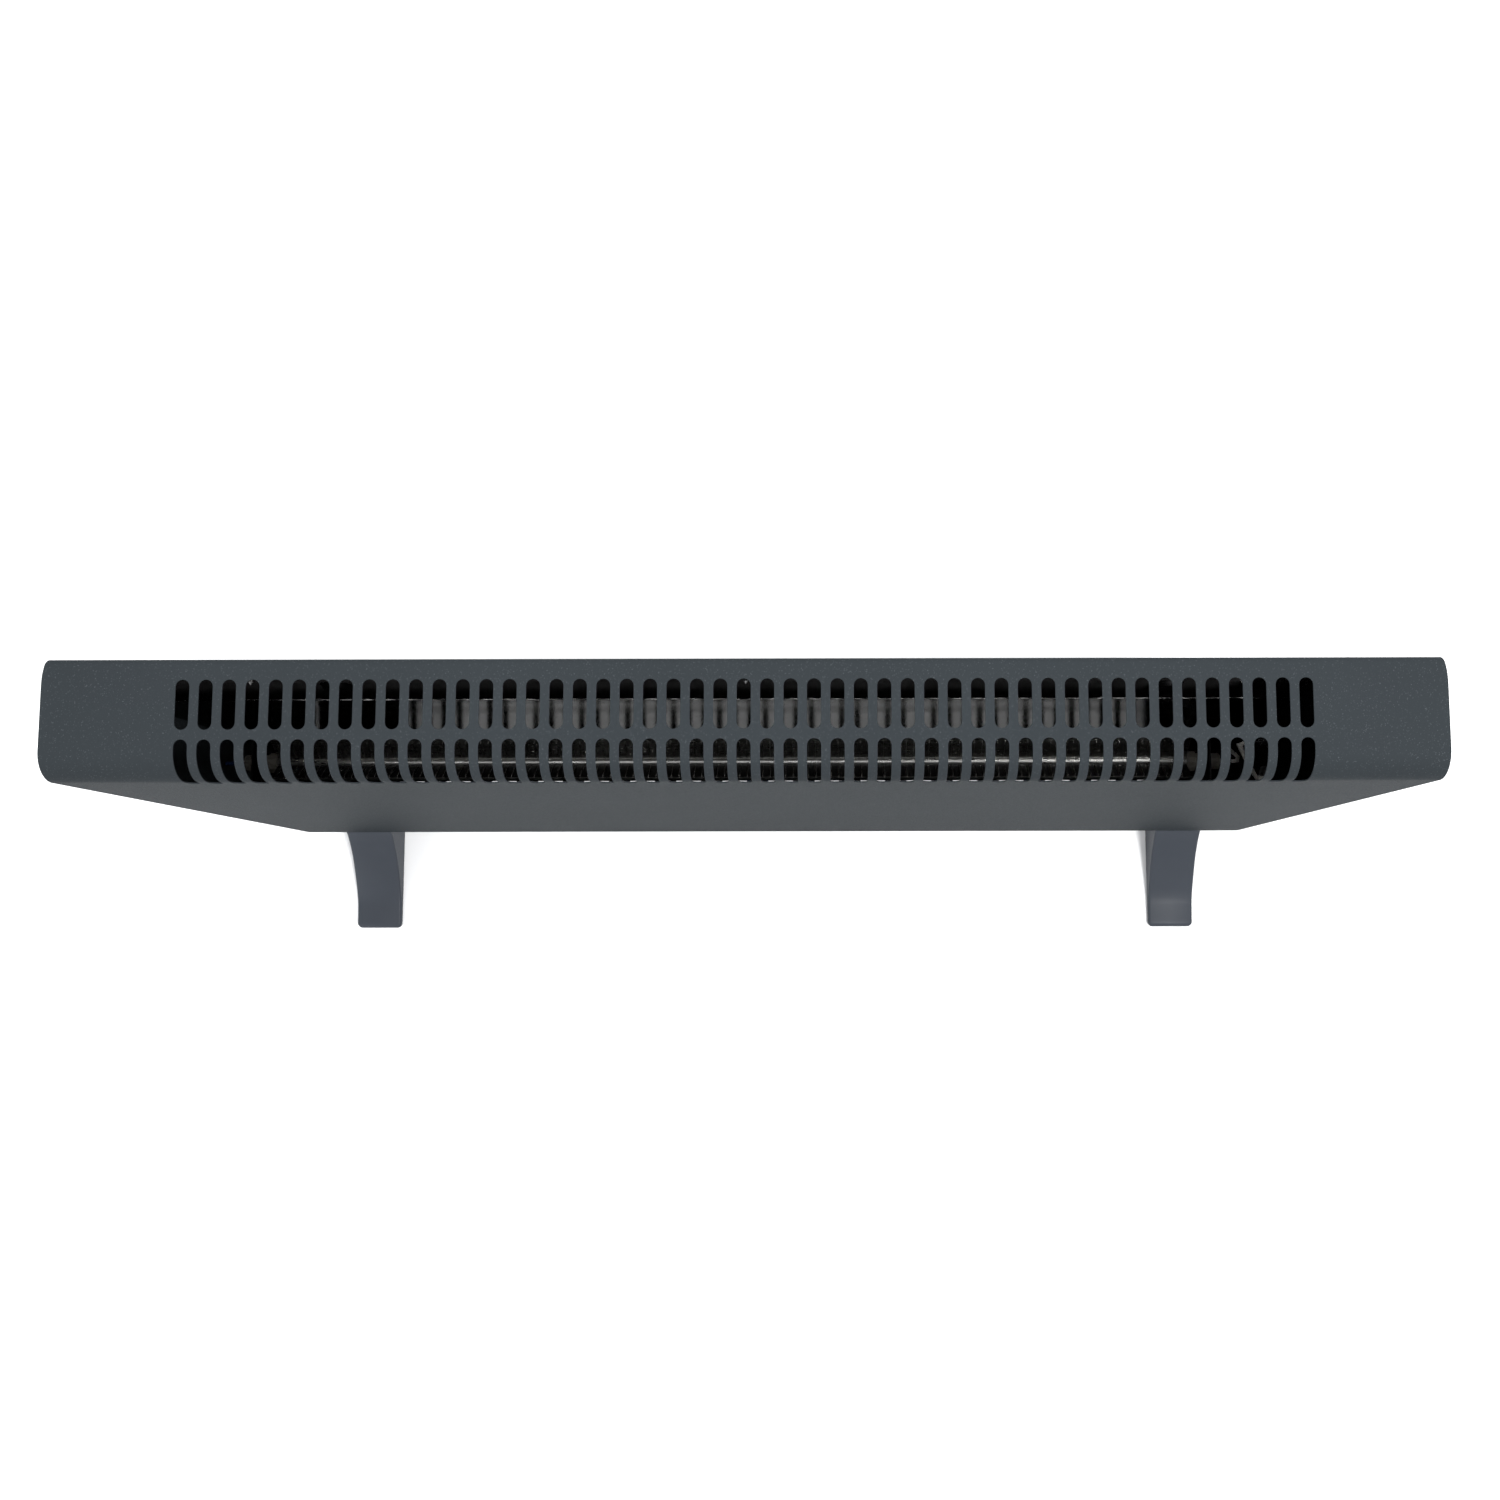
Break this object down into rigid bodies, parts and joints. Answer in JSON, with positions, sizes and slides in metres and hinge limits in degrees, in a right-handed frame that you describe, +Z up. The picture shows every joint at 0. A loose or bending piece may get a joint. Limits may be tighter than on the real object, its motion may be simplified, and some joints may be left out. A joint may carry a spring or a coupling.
{
  "type": "electric panel convector heater",
  "caption": "Free-standing slim panel convector heater in grey painted steel, with a slotted top outlet, side controls and two moulded feet.",
  "frame": {"origin": "on the floor under the middle of the case, centre of the footprint", "axes": "+X along the case towards the control end, -Y towards the front, +Z up"},
  "size_m": [0.83, 0.242, 0.4762],
  "materials": {
    "paint": "satin blue-grey powder coat with a fine texture",
    "plastic": "semi-gloss moulded plastic",
    "dark_plastic": "fine matte",
    "galvanised": "galvanised sheet",
    "aluminium": "rolled, slightly dull",
    "ceramic": "unglazed ceramic",
    "steel": "zinc plated",
    "brass": "plain",
    "rubber": "matte",
    "white_nylon": "moulded nylon",
    "amber": "translucent",
    "brown_lead": "insulated lead",
    "blue_lead": "insulated lead",
    "white_lead": "glass-braid sleeve"
  },
  "bodies": {
    "housing": {"front_shell": "paint", "bottom_grille": "galvanised", "back_panel": "galvanised", "left_end_panel": "paint", "right_end_panel": "paint", "front_stiffener": "galvanised", "heat_shield": "galvanised", "control_bulkhead": "galvanised", "element_body": "aluminium", "element_insulator_left": "ceramic", "element_insulator_right": "ceramic", "element_pin_left": "steel", "element_pin_right": "steel", "element_bracket_left": "galvanised", "element_bracket_right": "galvanised", "thermal_cutout": "dark_plastic", "bulkhead_grommet_1": "rubber", "bulkhead_grommet_2": "rubber", "control_panel": "dark_plastic", "thermostat_body": "white_nylon", "thermostat_nut": "steel", "power_switch_body": "dark_plastic", "heat_switch_body": "dark_plastic", "indicator_lens": "amber", "terminal_block": "white_nylon", "tilt_bracket": "white_nylon", "tilt_pin": "steel", "cord_gland": "rubber", "earth_stud": "brass", "earth_nut": "brass", "lead_supply": "brown_lead", "lead_switch": "white_lead", "lead_thermostat": "white_lead", "lead_element": "white_lead", "lead_return": "blue_lead", "left_foot": "plastic", "right_foot": "plastic", "left_foot_pad_front": "rubber", "left_foot_pad_rear": "rubber", "right_foot_pad_front": "rubber", "right_foot_pad_rear": "rubber", "left_foot_screw_front": "steel", "left_foot_screw_rear": "steel", "right_foot_screw_front": "steel", "right_foot_screw_rear": "steel", "back_screw_1": "steel", "back_screw_2": "steel", "back_screw_3": "steel", "back_screw_4": "steel", "back_screw_5": "steel", "back_screw_6": "steel", "left_end_screw_1": "steel", "left_end_screw_2": "steel", "right_end_screw_1": "steel", "right_end_screw_2": "steel"},
    "knob": {"thermostat_knob": "plastic", "thermostat_shaft": "steel"},
    "power_rocker": {"power_rocker": "dark_plastic"},
    "heat_rocker": {"heat_rocker": "dark_plastic"},
    "tilt_pendulum": {"tilt_pendulum": "brass"}
  },
  "joints": [
    {"name": "thermostat_turn", "type": "hinge", "parent": "housing", "child": "knob", "pos_m": [0.405, 0, 0.405], "axis": [1, 0, 0], "range_deg": [0, 270]},
    {"name": "power_press", "type": "hinge", "parent": "housing", "child": "power_rocker", "pos_m": [0.395, 0, 0.348], "axis": [0, -1, 0], "range_deg": [0, 24]},
    {"name": "heat_press", "type": "hinge", "parent": "housing", "child": "heat_rocker", "pos_m": [0.395, 0, 0.318], "axis": [0, -1, 0], "range_deg": [0, 24]},
    {"name": "tilt_swing", "type": "hinge", "parent": "housing", "child": "tilt_pendulum", "pos_m": [0.3605, -0.002, 0.206], "axis": [1, 0, 0], "range_deg": [-25, 25]}
  ]
}
